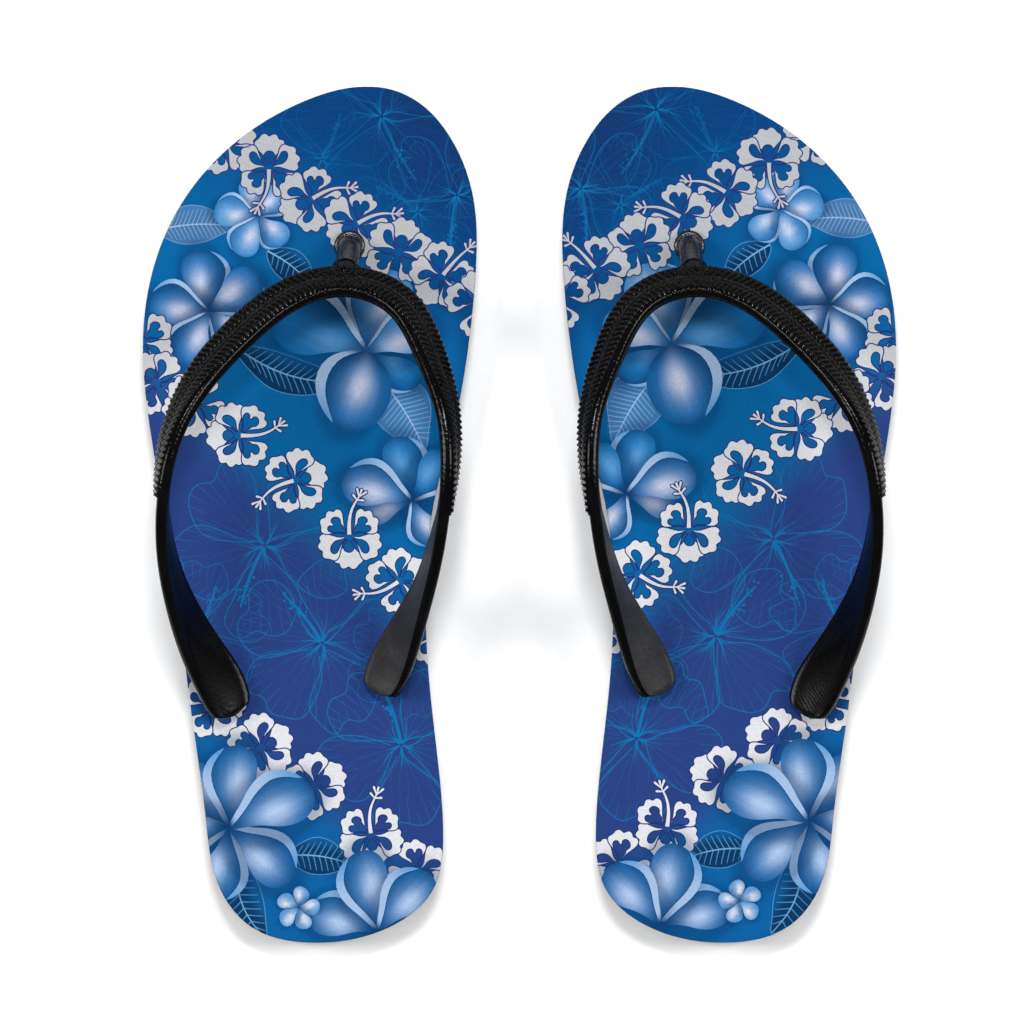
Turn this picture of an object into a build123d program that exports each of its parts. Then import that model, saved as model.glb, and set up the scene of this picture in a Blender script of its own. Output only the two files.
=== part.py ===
from build123d import *
import os
from math import cos, radians, sin

# Pair of thong sandals standing side by side, toes towards +Y, soles on Z = 0.
# The origin is on the ground, midway between the sandals and halfway along them.
# Everything is drawn for the left sandal; the right one is its mirror image in X.

# ---------------------------------------------------------------- driving sizes
half_length = 130.0          # half of the sole length
sandal_spacing = 127.8       # between the middles of the two soles
stack_middle = 15.5          # height of the footbed halfway along the sole
stack_drop = 4.0             # how much lower the toe end is than the heel end
outsole_thickness = 4.0
foam_thickness = 4.0         # foam sheet that carries the printed fabric
sheet_thickness = 1.0        # printed fabric sheet

tread_depth = 1.3
tread_pitch = 9.0
tread_width = 2.6
tread_zigzag = 4.0           # height of one zigzag of a groove
tread_step = 7.0             # half the length of one zigzag
tread_reach = 60.0           # the grooves run this far to each side, past the sole's edge
arch_pad_centre = (0.0, -6.0)
arch_pad_length = 46.0       # smooth land under the middle of the foot
arch_pad_width = 26.0

post_hole = (12.3, 81.6)     # between the big toe and the second toe
lateral_hole = (-24.8, -52.5)
medial_hole = (22.6, -46.6)
stem_diameter = 7.0          # toe post and plug stems
stem_clearance = 0.2
disc_diameter = 16.5         # plug discs under the sole
disc_thickness = 2.6
recess_diameter = 17.5
recess_depth = 3.0
pad_diameter = 22.0          # smooth land round each recess

collar_diameter = 9.4        # shoulder of the toe post on the footbed
collar_height = 1.8
collar_gap = 0.1             # between the collar and the footbed
collar_round = 0.9           # rounding of the collar's upper rim
post_fit = 0.05              # how much thinner the post is than its socket, on the radius
post_upright = 1.0           # the post starts to bend this far over the footbed
post_lean = 40.0             # degrees the post leans back from upright
post_bend = 8.0              # radius of its bend
post_run = 12.6              # straight length after the bend
socket_diameter = 8.7        # socket under the strap that takes the post
socket_start = 8.2           # where the socket begins on the straight run
socket_length = 6.4

strap_thickness = 4.2
strap_corner = 1.7
stem_stop = 1.2              # the plug stems end this far under the strap's middle line

# Sole outline: spline through these points, inner side of the foot at +X.
outline_points = [
    (17.5, 130.0), (32.0, 126.0), (43.5, 113.5), (49.9, 96.0), (50.7, 76.0),
    (48.2, 50.0), (43.5, 25.0), (38.2, 5.0), (35.4, -22.0), (36.4, -50.0),
    (39.0, -74.0), (40.7, -96.0), (37.6, -114.0), (24.0, -125.5), (2.0, -130.0),
    (-17.6, -125.2), (-27.4, -112.8), (-31.4, -92.0), (-35.5, -62.0), (-41.5, -16.0),
    (-48.0, 24.0), (-50.5, 50.0), (-46.7, 77.0), (-36.8, 97.5), (-21.5, 113.8),
    (0.0, 126.2),
]

# Strap stations from the outer rear end, round the front, to the inner rear end:
# x, y, height over the footbed, width, roll. Roll 0 lies flat with the ribbed face
# up, 90 stands upright, more than 90 leans outwards with the smooth face up.
strap_stations = [
    (-22.9, -61.1, 4.2, 6.4, 152.0),
    (-23.5, -59.7, 4.6, 11.6, 152.0),
    (-24.4, -57.3, 5.2, 15.0, 151.0),
    (-26.4, -52.6, 6.5, 16.8, 148.0),
    (-31.3, -43.8, 9.8, 16.6, 141.0),
    (-39.0, -27.3, 19.3, 14.6, 121.0),
    (-43.4, -10.0, 28.2, 13.0, 103.0),
    (-44.0, 8.0, 33.0, 12.6, 86.0),
    (-40.6, 25.6, 33.8, 12.5, 70.0),
    (-32.3, 41.7, 31.5, 12.8, 51.0),
    (-20.5, 55.2, 27.3, 12.8, 43.0),
    (-6.6, 66.0, 22.8, 12.6, 45.0),
    (10.6, 70.6, 20.0, 12.0, 48.0),
    (26.9, 65.0, 22.8, 12.6, 47.0),
    (36.8, 48.5, 28.0, 12.5, 52.0),
    (42.0, 31.3, 32.2, 12.5, 69.0),
    (42.7, 13.4, 33.2, 12.6, 82.0),
    (40.1, -4.4, 29.3, 13.0, 97.0),
    (35.4, -21.8, 20.3, 13.2, 112.0),
    (28.5, -38.1, 10.0, 15.4, 135.0),
    (24.3, -47.0, 6.3, 15.4, 146.0),
    (22.4, -51.1, 5.1, 13.8, 151.0),
    (21.4, -53.2, 4.5, 10.8, 152.0),
    (20.9, -54.4, 4.2, 6.2, 152.0),
]

front_station = 12           # over the toe post
lateral_station = 3          # over the plug stem of the outer arm
medial_station = -4          # over the plug stem of the inner arm

# ---------------------------------------------------------------- derived planes
footbed_slope = stack_drop / (2 * half_length)
left_ground = Plane(origin=(-sandal_spacing / 2, 0, 0))


def footbed_height(y):
    """Height of the footbed over the ground at the length coordinate y."""
    return stack_middle - footbed_slope * y


def layer_plane(depth):
    """Plane parallel to the footbed, a given depth under it, facing up."""
    return Plane(
        origin=(-sandal_spacing / 2, 0, stack_middle - depth),
        x_dir=(1, 0, 0),
        z_dir=(0, footbed_slope, 1),
    )


def on_sandal(x, y, height):
    """Point of the left sandal, its height counted from the footbed."""
    return Vector(x - sandal_spacing / 2, y, footbed_height(y) + height)


hole_centres = [post_hole, lateral_hole, medial_hole]
hole_diameter = stem_diameter + 2 * stem_clearance

with BuildSketch(left_ground) as sole_outline:
    with BuildLine():
        Spline(*outline_points, periodic=True)
    make_face()

# ---------------------------------------------------------------- sole layers
with BuildSketch(left_ground) as tread_grooves:
    row_count = int(half_length / tread_pitch)
    step_count = int(tread_reach / tread_step)
    for row in range(-row_count, row_count + 1):
        middle = [
            (step * tread_step, row * tread_pitch + tread_zigzag * (step % 2) - tread_zigzag / 2)
            for step in range(-step_count, step_count + 1)
        ]
        upper = [(x, y + tread_width / 2) for x, y in middle]
        lower = [(x, y - tread_width / 2) for x, y in reversed(middle)]
        with BuildLine():
            Polyline(*upper, *lower, close=True)
        make_face()
    with Locations(*hole_centres):
        Circle(pad_diameter / 2, mode=Mode.SUBTRACT)
    with Locations(arch_pad_centre):
        SlotOverall(arch_pad_length, arch_pad_width, rotation=90, mode=Mode.SUBTRACT)

with BuildPart() as left_outsole:
    add(sole_outline.sketch)
    extrude(amount=outsole_thickness)
    add(tread_grooves.sketch)
    extrude(amount=tread_depth, mode=Mode.SUBTRACT)
    with BuildSketch(left_ground):
        with Locations(*hole_centres):
            Circle(recess_diameter / 2)
    extrude(amount=recess_depth, mode=Mode.SUBTRACT)
    with BuildSketch(left_ground):
        with Locations(*hole_centres):
            Circle(hole_diameter / 2)
    extrude(amount=outsole_thickness, mode=Mode.SUBTRACT)


def sole_slab(top_depth, bottom_depth):
    """Die-cut slab between two planes parallel to the footbed, with the three holes."""
    with BuildPart(mode=Mode.PRIVATE) as slab:
        add(sole_outline.sketch)
        extrude(amount=2 * stack_middle)
        with BuildSketch(left_ground):
            with Locations(*hole_centres):
                Circle(hole_diameter / 2)
        extrude(amount=2 * stack_middle, mode=Mode.SUBTRACT)
        split(bisect_by=layer_plane(top_depth), keep=Keep.BOTTOM)
        if bottom_depth is None:
            split(bisect_by=left_ground.offset(outsole_thickness), keep=Keep.TOP)
        else:
            split(bisect_by=layer_plane(bottom_depth), keep=Keep.TOP)
    return slab.part


with BuildPart() as left_midsole:
    add(sole_slab(sheet_thickness + foam_thickness, None))

with BuildPart() as left_footbed_foam:
    add(sole_slab(sheet_thickness, sheet_thickness + foam_thickness))

with BuildPart() as left_printed_sheet:
    add(sole_slab(0, sheet_thickness))

# ---------------------------------------------------------------- toe post
post_foot = on_sandal(*post_hole, 0)
strap_front = on_sandal(*strap_stations[front_station][:3])
lean_direction = Vector(strap_front.X - post_foot.X, strap_front.Y - post_foot.Y, 0).normalized()
post_plane = Plane(origin=post_foot, x_dir=lean_direction, z_dir=lean_direction.cross(Vector(0, 0, 1)))
disc_top = recess_depth
stem_bottom = disc_top - post_foot.Z

with BuildPart() as left_toe_post:
    with BuildLine(post_plane) as post_path:
        upright = Line((0, stem_bottom), (0, post_upright))
        bend = JernArc(start=upright @ 1, tangent=(0, 1), radius=post_bend, arc_size=-post_lean)
        Line(bend @ 1, bend @ 1 + (bend % 1) * post_run)
    with BuildSketch(Plane(origin=post_path.line @ 0, z_dir=(0, 0, 1))):
        Circle(stem_diameter / 2 - post_fit)
    sweep()
    with BuildSketch(Plane(origin=post_foot, z_dir=(0, 0, 1)).offset(collar_gap)):
        Circle(collar_diameter / 2)
    extrude(amount=collar_height)
    collar_top = post_foot.Z + collar_gap + collar_height
    collar_rim = edges().filter_by(GeomType.CIRCLE).filter_by_position(Axis.Z, collar_top, collar_top)
    fillet(collar_rim, radius=collar_round)
    with BuildSketch(Plane(origin=(post_foot.X, post_foot.Y, disc_top - disc_thickness))):
        Circle(disc_diameter / 2)
    extrude(amount=disc_thickness)

# ---------------------------------------------------------------- strap
strap_points = [on_sandal(x, y, height) for x, y, height, width, roll in strap_stations]
socket_axis = (post_path.line % 1).normalized()
socket_mouth = (post_path.line @ 1) - socket_axis * (post_run - socket_start)


def strap_plane(index):
    """Section plane of the strap: local X across the strap, local Y out of its ribbed face."""
    before = strap_points[max(index - 1, 0)]
    after = strap_points[min(index + 1, len(strap_points) - 1)]
    along = (after - before).normalized()
    inward = along.cross(Vector(0, 0, 1)).normalized()
    upward = inward.cross(along)
    roll = radians(strap_stations[index][4])
    across = inward * cos(roll) + upward * sin(roll)
    return Plane(origin=strap_points[index], x_dir=across, z_dir=along * -1)


with BuildPart() as left_strap:
    for index, station in enumerate(strap_stations):
        with BuildSketch(strap_plane(index)):
            RectangleRounded(station[3], strap_thickness, strap_corner)
    loft()
    with BuildSketch(Plane(origin=socket_mouth, z_dir=socket_axis)):
        Circle(socket_diameter / 2)
    extrude(amount=socket_length)
    with BuildSketch(Plane(origin=socket_mouth, z_dir=socket_axis)):
        Circle(stem_diameter / 2)
    extrude(amount=post_run - socket_start, mode=Mode.SUBTRACT)
    for hole, index in ((lateral_hole, lateral_station), (medial_hole, medial_station)):
        stem_top = on_sandal(*hole, strap_stations[index][2] - stem_stop)
        with BuildSketch(Plane(origin=(stem_top.X, stem_top.Y, disc_top))):
            Circle(stem_diameter / 2)
        extrude(amount=stem_top.Z - disc_top)
        with BuildSketch(Plane(origin=(stem_top.X, stem_top.Y, disc_top - disc_thickness))):
            Circle(disc_diameter / 2)
        extrude(amount=disc_thickness)

# ---------------------------------------------------------------- both sandals
left_parts = {
    "outsole": left_outsole,
    "midsole": left_midsole,
    "footbed_foam": left_footbed_foam,
    "printed_sheet": left_printed_sheet,
    "toe_post": left_toe_post,
    "strap": left_strap,
}

os.makedirs("parts", exist_ok=True)
for name, left in left_parts.items():
    with BuildPart() as right:
        mirror(left.part, about=Plane.YZ)
    left.part.label = f"left_{name}"
    right.part.label = f"right_{name}"
    export_step(left.part, f"parts/left_{name}.step")
    export_step(right.part, f"parts/right_{name}.step")
    print(name, round(left.part.volume), len(left.part.solids()), left.part.is_valid)
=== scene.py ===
import math

import bpy
import numpy as np
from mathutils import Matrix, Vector, kdtree
from mathutils.geometry import delaunay_2d_cdt


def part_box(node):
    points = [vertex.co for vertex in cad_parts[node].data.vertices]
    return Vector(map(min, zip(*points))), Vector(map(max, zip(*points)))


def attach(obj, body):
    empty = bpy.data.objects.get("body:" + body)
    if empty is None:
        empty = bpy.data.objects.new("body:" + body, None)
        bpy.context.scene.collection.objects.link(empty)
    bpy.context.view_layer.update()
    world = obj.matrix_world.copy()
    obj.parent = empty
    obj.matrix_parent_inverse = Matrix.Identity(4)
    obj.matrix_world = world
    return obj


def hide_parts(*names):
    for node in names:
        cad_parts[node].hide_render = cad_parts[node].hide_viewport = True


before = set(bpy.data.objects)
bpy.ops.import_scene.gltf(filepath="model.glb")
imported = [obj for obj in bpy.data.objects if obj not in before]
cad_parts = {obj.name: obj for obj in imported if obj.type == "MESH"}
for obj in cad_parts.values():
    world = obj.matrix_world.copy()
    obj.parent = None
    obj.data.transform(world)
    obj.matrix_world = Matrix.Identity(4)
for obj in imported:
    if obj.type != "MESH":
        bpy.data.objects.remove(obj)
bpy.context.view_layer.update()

# A pair of printed thong sandals. Shapes are worked out for the left sandal in
# millimetres: x from the middle of the sole towards the inner side of the foot, y from
# the middle of its length towards the toes, z over the ground. The right one mirrors it.

MM = 0.001
SIGN = {"left": 1.0, "right": -1.0}
chance = np.random.default_rng(11)

sheet_low, sheet_high = (np.array(corner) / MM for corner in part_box("left_printed_sheet"))
OUTER_REACH = 50.5           # from the middle of the sole to its outer edge
SHEET = 1.0                  # thickness of the printed sheet
MIDDLE_X = sheet_low[0] + OUTER_REACH
HEEL_TOP, TOE_TOP = sheet_high[2], sheet_low[2] + SHEET
STRAP = 4.2                  # thickness of the strap

OUTLINE = [
    (17.5, 130.0), (32.0, 126.0), (43.5, 113.5), (49.9, 96.0), (50.7, 76.0),
    (48.2, 50.0), (43.5, 25.0), (38.2, 5.0), (35.4, -22.0), (36.4, -50.0),
    (39.0, -74.0), (40.7, -96.0), (37.6, -114.0), (24.0, -125.5), (2.0, -130.0),
    (-17.6, -125.2), (-27.4, -112.8), (-31.4, -92.0), (-35.5, -62.0), (-41.5, -16.0),
    (-48.0, 24.0), (-50.5, 50.0), (-46.7, 77.0), (-36.8, 97.5), (-21.5, 113.8),
    (0.0, 126.2),
]
POST_HOLE, LATERAL_HOLE, MEDIAL_HOLE = (12.3, 81.6), (-24.8, -52.5), (22.6, -46.6)

# Strap: x, y, height over the footbed, width, roll (0 ribbed face up, 90 upright).
STATIONS = [
    (-22.9, -61.1, 4.2, 6.4, 152.0), (-23.5, -59.7, 4.6, 11.6, 152.0),
    (-24.4, -57.3, 5.2, 15.0, 151.0), (-26.4, -52.6, 6.5, 16.8, 148.0),
    (-31.3, -43.8, 9.8, 16.6, 141.0), (-39.0, -27.3, 19.3, 14.6, 121.0),
    (-43.4, -10.0, 28.2, 13.0, 103.0), (-44.0, 8.0, 33.0, 12.6, 86.0),
    (-40.6, 25.6, 33.8, 12.5, 70.0), (-32.3, 41.7, 31.5, 12.8, 51.0),
    (-20.5, 55.2, 27.3, 12.8, 43.0), (-6.6, 66.0, 22.8, 12.6, 45.0),
    (10.6, 70.6, 20.0, 12.0, 48.0), (26.9, 65.0, 22.8, 12.6, 47.0),
    (36.8, 48.5, 28.0, 12.5, 52.0), (42.0, 31.3, 32.2, 12.5, 69.0),
    (42.7, 13.4, 33.2, 12.6, 82.0), (40.1, -4.4, 29.3, 13.0, 97.0),
    (35.4, -21.8, 20.3, 13.2, 112.0), (28.5, -38.1, 10.0, 15.4, 135.0),
    (24.3, -47.0, 6.3, 15.4, 146.0), (22.4, -51.1, 5.1, 13.8, 151.0),
    (21.4, -53.2, 4.5, 10.8, 152.0), (20.9, -54.4, 4.2, 6.2, 152.0),
]


def footbed(y):
    """Height of the footbed over the ground."""
    share = (np.asarray(y, float) - sheet_low[1]) / (sheet_high[1] - sheet_low[1])
    return HEEL_TOP + (TOE_TOP - HEEL_TOP) * share


# ------------------------------------------------------------------ curves
def spline(points, closed=False):
    """Cubic spline by chord length: its total parameter and a function of the parameter."""
    p = np.asarray(points, float)
    if closed:
        p = np.vstack([p, p[:1]])
    h = np.linalg.norm(np.diff(p[:, :3], axis=0), axis=1)
    n = len(h)
    a, b = np.zeros((n + 1, n + 1)), np.zeros(p.shape)
    turn = np.diff(p, axis=0) / h[:, None]
    for i in range(1, n):
        a[i, i - 1:i + 2] = h[i - 1], 2 * (h[i - 1] + h[i]), h[i]
        b[i] = 6 * (turn[i] - turn[i - 1])
    a[0, 0] = a[n, n] = 1
    if closed:
        a[0, n] = -1
        a[n, :] = 0
        a[n, n - 1], a[n, 0], a[n, 1] = h[-1], 2 * (h[-1] + h[0]), h[0]
        b[n] = 6 * (turn[0] - turn[-1])
    m = np.linalg.solve(a, b)
    t = np.concatenate([[0], np.cumsum(h)])

    def at(u):
        u = np.atleast_1d(u)
        k = np.clip(np.searchsorted(t, u, side="right") - 1, 0, n - 1)
        f = ((u - t[k]) / h[k])[:, None]
        g = 1 - f
        bend = ((g ** 3 - g) * m[k] + (f ** 3 - f) * m[k + 1]) * (h[k] ** 2 / 6)[:, None]
        return g * p[k] + f * p[k + 1] + bend

    return t[-1], at


def trace(points, step, closed=True):
    """Points along a smooth curve, about step apart."""
    total, at = spline(points, closed)
    count = max(int(round(total / step)), 4)
    return at(np.linspace(0, total, count, endpoint=not closed))


def twice_area(outline):
    """Twice the area inside a closed outline, positive where it runs counter-clockwise."""
    ahead = np.roll(outline, -1, 0)
    return np.sum(outline[:, 0] * ahead[:, 1] - ahead[:, 0] * outline[:, 1])


def grow(outline, amount):
    """The closed outline moved outwards, or inwards for a negative amount."""
    along = np.roll(outline, -1, 0) - np.roll(outline, 1, 0)
    along /= np.maximum(np.linalg.norm(along, axis=1), 1e-9)[:, None]
    outwards = np.stack([along[:, 1], -along[:, 0]], 1)
    return outline + amount * math.copysign(1, twice_area(outline)) * outwards


def stroke(points, start, end, step=0.8):
    """Outline of a line that tapers from one width to another."""
    p = trace(points, step, closed=False)
    along = np.gradient(p, axis=0)
    along /= np.maximum(np.linalg.norm(along, axis=1), 1e-9)[:, None]
    side = np.stack([-along[:, 1], along[:, 0]], 1)
    half = np.linspace(start, end, len(p))[:, None] / 2
    left, right = p + side * half, p - side * half
    tip = p[-1:] + along[-1:] * half[-1]
    return np.vstack([left, tip, right[::-1]])


def turned(points, angle, centre=(0, 0), size=1.0, flip=1.0):
    """Motif points (along, across) turned to an angle in degrees, sized and moved."""
    p = np.asarray(points, float) * (size, size * flip)
    c, s = math.cos(math.radians(angle)), math.sin(math.radians(angle))
    return np.stack([c * p[:, 0] - s * p[:, 1], s * p[:, 0] + c * p[:, 1]], 1) + centre


def smooth(low, high, value):
    """Smooth step from 0 at low to 1 at high."""
    t = np.clip((np.asarray(value, float) - low) / (high - low), 0, 1)
    return t * t * (3 - 2 * t)


# ------------------------------------------------------------------ inks
def ink(red, green, blue):
    """Ink colour from 0 to 255 as scene colour, under the light of this studio."""
    c = np.array([red, green, blue]) / 255
    return np.where(c <= 0.04045, c / 12.92, ((c + 0.055) / 1.055) ** 2.4) / LIGHT


LIGHT = 1.25                 # how much brighter the studio shows a colour than it is
WHITE, TOE_WHITE = ink(216, 218, 222), ink(177, 180, 185)
NAVY = ink(32, 48, 114)
DEEP, PURPLE, BAND = ink(2, 60, 118), ink(14, 50, 104), ink(2, 96, 157)
INDIGO, HEEL = ink(38, 62, 125), ink(6, 92, 156)
CYAN = ink(6, 112, 172)
PALE, SKY, PETAL, SHADE = ink(192, 200, 224), ink(84, 148, 204), ink(14, 104, 170), ink(2, 54, 102)
HALO = ink(44, 140, 202)
RIM, LEAF, VEIN = ink(160, 187, 221), ink(2, 52, 94), ink(104, 164, 208)


def mixed(a, b, share):
    """Colour a turned into b by a share, or by one share for each point."""
    return a + (b - a) * np.asarray(share)[..., None]


def ground(p):
    """The printed ground: bands of blue that follow the three garlands."""
    x, y = p[:, 0], p[:, 1]
    # how far each place lies past each garland, towards the toes
    first, second, third = y - (96.7 - 0.62 * x), y - (7 - 0.98 * x), y - (-81 - 0.8 * x)
    colour = mixed(BAND, DEEP, smooth(-40, 30, first))
    colour = mixed(colour, PURPLE, smooth(8, 34, x) * smooth(8, 34, first) * 0.9)
    colour = mixed(colour, DEEP, smooth(42, 50, x) * smooth(100, 84, y) * 0.6)
    colour = mixed(colour, INDIGO, smooth(2, -26, second))
    return mixed(colour, HEEL, smooth(6, -14, third))


def plain(colour, cover=1.0):
    """Paint of one colour. Any paint gives colour and cover at its points."""
    return lambda p: (np.broadcast_to(colour, (len(p), 3)), np.full(len(p), cover))


def as_ground(p):
    """Paint that looks like the ground showing through."""
    return ground(p), np.ones(len(p))


def as_white(p):
    """The white of the garlands, greyer towards the toes."""
    return mixed(WHITE, TOE_WHITE, smooth(0, 90, p[:, 1])), np.ones(len(p))


# ------------------------------------------------------------------ motifs
# One hibiscus petal along +x, its cut-outs, and the flower built from five of them.
HIBISCUS_PETAL = [
    (0.10, 0.00), (0.26, 0.07), (0.42, 0.19), (0.56, 0.34), (0.70, 0.46), (0.83, 0.47),
    (0.91, 0.38), (0.96, 0.33), (1.06, 0.26), (1.09, 0.12), (1.02, 0.02), (1.08, -0.10),
    (1.05, -0.24), (0.92, -0.31), (0.91, -0.41), (0.80, -0.48), (0.66, -0.43), (0.53, -0.31),
    (0.40, -0.18), (0.26, -0.08),
]
TEARDROP = [
    (0.12, 0.00), (0.26, -0.01), (0.40, -0.05), (0.54, -0.06), (0.66, -0.01), (0.76, 0.10),
    (0.77, 0.22), (0.68, 0.28), (0.54, 0.22), (0.40, 0.12), (0.25, 0.05),
]
HEART = [
    (0.13, 0.00), (0.28, 0.06), (0.42, 0.17), (0.54, 0.27), (0.66, 0.30), (0.74, 0.24),
    (0.72, 0.14), (0.64, 0.09), (0.66, 0.02), (0.76, 0.01), (0.82, -0.07), (0.79, -0.17),
    (0.68, -0.24), (0.56, -0.21), (0.50, -0.14), (0.40, -0.12), (0.27, -0.05),
]
KEYHOLE = [
    (0.10, 0.00), (0.20, 0.05), (0.27, 0.12), (0.37, 0.16), (0.48, 0.13), (0.54, 0.00),
    (0.48, -0.14), (0.37, -0.17), (0.26, -0.12), (0.19, -0.05),
]
HIBISCUS = [
    (180, KEYHOLE, 1), (-116, TEARDROP, -1), (116, TEARDROP, 1), (-48, HEART, -1), (48, HEART, 1),
]
# The stamen along +x, and its buds: place on the rod, turn in degrees, length.
STAMEN = [(0.05, 0.0), (0.45, 0.0), (0.92, 0.10), (1.30, 0.32)]
BUDS = [(0.86, -62, 0.22), (1.0, -26, 0.30), (1.0, 8, 0.26), (1.0, 42, 0.28), (0.86, 66, 0.22)]


def hibiscus(layers, centre, angle, size, bend):
    """White line-cut hibiscus. Its stamen is at the angle and bends to a side; 0 leaves it out."""
    line = 0.36              # width of the dark line round each petal
    petals, cuts = [], []
    for turn, cut, flip in HIBISCUS:
        wobble = chance.uniform(-4, 4)
        reach = size * chance.uniform(0.96, 1.05)
        at = angle + turn + wobble
        petals.append(turned(trace(HIBISCUS_PETAL, 0.055), at, centre, reach, flip))
        cuts.append(turned(trace(cut, 0.055), at, centre, reach, flip))
    for petal in petals:
        layers.append((grow(petal, line), plain(NAVY)))
        layers.append((petal, as_white))
    for cut in cuts:
        layers.append((grow(cut, line * 0.7), plain(NAVY)))
        layers.append((grow(cut, -line * 0.3), as_ground))
    throat = trace([(0.16, 0), (0, 0.14), (-0.16, 0), (0, -0.14)], 0.06)
    layers.append((turned(throat, 0, centre, size), as_ground))
    if not bend:
        return
    rod = turned(STAMEN, angle, centre, size, bend)
    tip_angle = math.degrees(math.atan2(*(rod[-1] - rod[-2])[::-1]))
    buds = []
    for share, turn, length in BUDS:
        root = rod[-2] + (rod[-1] - rod[-2]) * (2 * share - 1)
        buds.append([root, root + turned([(length * size, 0)], tip_angle + turn)[0]])
    layers.append((stroke(rod, 0.20 * size, 0.13 * size), plain(NAVY)))
    for bud in buds:
        layers.append((stroke(bud, 1.1, 1.5), plain(NAVY)))
    layers.append((stroke(rod, 0.135 * size, 0.045 * size), as_white))
    for bud in buds:
        layers.append((stroke(bud, 0.30, 0.72, 0.5), as_white))


# Plumeria petals along +x, from root to tip.
PLUMERIA_PETAL = [
    (0.00, 0.00), (0.16, 0.11), (0.38, 0.25), (0.62, 0.33), (0.84, 0.27), (0.97, 0.12),
    (1.00, -0.04), (0.92, -0.20), (0.74, -0.30), (0.50, -0.27), (0.26, -0.14),
]
BROAD_PETAL = [
    (0.00, 0.00), (0.06, 0.18), (0.20, 0.35), (0.42, 0.42), (0.68, 0.36), (0.90, 0.18),
    (1.00, -0.04), (0.93, -0.22), (0.74, -0.36), (0.46, -0.41), (0.20, -0.32), (0.05, -0.15),
]


def petal_place(p, centre, angle, size, flip=1.0):
    """Places along and across a petal, as shares of its length."""
    q = turned(p - np.array(centre), -angle)
    return q[:, 0] / size, q[:, 1] / size * flip


def petal_paint(centre, angle, size, flip, body, glow, edge, spot):
    """Airbrushed petal: dark root and rim, a pale bloom off its middle."""
    def paint(p):
        t, s = petal_place(p, centre, angle, size, flip)
        half = np.maximum(0.33 * np.sqrt(np.clip(1 - ((t - 0.60) / 0.62) ** 2, 0.02, 1)), 0.05)
        side = s / half
        colour = mixed(edge, body, smooth(0.0, 0.30, t) * smooth(1.08, 0.80, t))
        colour = mixed(colour, edge, 0.75 * smooth(0.10, 0.95, side))
        colour = mixed(colour, edge, 0.45 * smooth(-0.55, -1.05, side))
        halo = np.exp(-((t - spot) / 0.30) ** 2 - ((side + 0.08) / 0.72) ** 2)
        bloom = np.exp(-((t - spot + 0.03) / 0.22) ** 2 - ((side + 0.16) / 0.40) ** 2)
        colour = mixed(colour, glow * 0.20 + HALO * 0.65, 0.50 * halo)
        colour = mixed(colour, glow, np.clip(1.05 * bloom, 0, 0.95))
        streak = (0.05 * np.sin(side * 8 + t * 3) + 0.05 * np.sin(side * 19 - t * 4)) * smooth(0.1, 0.5, t)
        return colour * (1 + streak)[:, None], np.ones(len(p))
    return paint


def soft_shadow(centre, angle, size, flip, strength):
    """Dark glow round a petal."""
    def paint(p):
        t, s = petal_place(p, centre, angle, size, flip)
        out = np.clip(np.hypot((t - 0.52) / 0.56, s / 0.38) - 0.95, 0, 9)
        return np.broadcast_to(SHADE, (len(p), 3)), strength * np.exp(-(out / 0.22) ** 2)
    return paint


def plumeria_petal(layers, centre, angle, size, flip=1.0, width=1.0, body=PETAL, glow=PALE, edge=SHADE,
                   spot=0.60, rim=0.10, curl=0.10, shape=PLUMERIA_PETAL):
    """One petal with its curled light rim along the side of positive flip."""
    p = np.array(shape) * (1, width)
    p[:, 1] += curl * np.sin(np.pi * p[:, 0]) * 0.6
    outline = turned(trace(p, 1.1 / size), angle, centre, size, flip)
    layers.append((None, soft_shadow(centre, angle, size, flip, 0.5)))
    layers.append((outline, petal_paint(centre, angle, size, flip, body, glow, edge, spot)))
    if not rim:
        return
    total, at = spline(p, True)
    count = 15               # points along the rim, which takes 0.46 of the way round
    edge_line = at(np.linspace(0, total * 0.46, count))
    inner = edge_line.copy()
    fall = np.sin(np.linspace(0.12, math.pi, count)) ** 0.8
    inner[:, 1] -= rim * fall
    inner[:, 0] -= rim * fall * 0.55 * smooth(0.5, 1.0, edge_line[:, 0])
    crescent = np.vstack([edge_line + (0, 0.012), inner[::-1][1:-1]])
    crescent = turned(crescent, angle, centre, size, flip)
    hair = turned(inner[1:-1], angle, centre, size, flip)
    layers.append((stroke(hair, 0.5, 0.5, 1.0), plain(SHADE, 0.75)))

    def paint(q):
        reach, _ = petal_place(q, centre, angle, size)
        return mixed(RIM, SKY, smooth(0.45, 0.98, reach)), 0.95 * smooth(0.0, 0.12, reach)
    layers.append((crescent, paint))


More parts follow.
